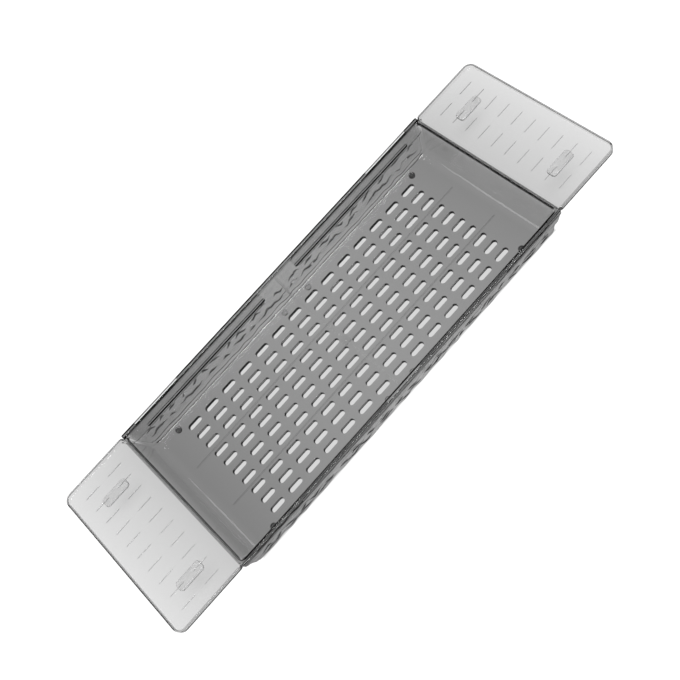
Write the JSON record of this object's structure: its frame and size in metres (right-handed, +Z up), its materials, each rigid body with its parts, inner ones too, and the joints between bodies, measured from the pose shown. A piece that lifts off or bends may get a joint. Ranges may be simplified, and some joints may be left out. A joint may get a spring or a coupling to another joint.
{
  "type": "bath caddy",
  "caption": "Extending bath caddy: a clear slotted basin whose end shelves slide out on side arms to rest on the rims of a tub.",
  "frame": {"origin": "middle of the footprint at the undersides of the feet", "axes": "+X along the caddy towards its right shelf, +Y across it towards the far side of the picture, +Z up"},
  "size_m": [0.69, 0.216, 0.049],
  "materials": {
    "smoke_plastic": "smoke-grey transparent, glossy",
    "clear_plastic": "pale transparent, softly glossy",
    "grip_rubber": "pale grey matte rubber",
    "foot_rubber": "dark matte rubber"
  },
  "bodies": {
    "tray": {"tray": "smoke_plastic", "foot_left_far": "foot_rubber", "foot_left_near": "foot_rubber", "foot_right_far": "foot_rubber", "foot_right_near": "foot_rubber"},
    "wing_left": {"wing_left": "clear_plastic", "grip_pad_left_far": "grip_rubber", "grip_pad_left_near": "grip_rubber"},
    "wing_right": {"wing_right": "clear_plastic", "grip_pad_right_far": "grip_rubber", "grip_pad_right_near": "grip_rubber"}
  },
  "joints": [
    {"name": "left_slide", "type": "slide", "parent": "tray", "child": "wing_left", "axis": [-1, 0, 0], "range_m": [0, 0.0535]},
    {"name": "right_slide", "type": "slide", "parent": "tray", "child": "wing_right", "axis": [1, 0, 0], "range_m": [0, 0.0535]}
  ]
}
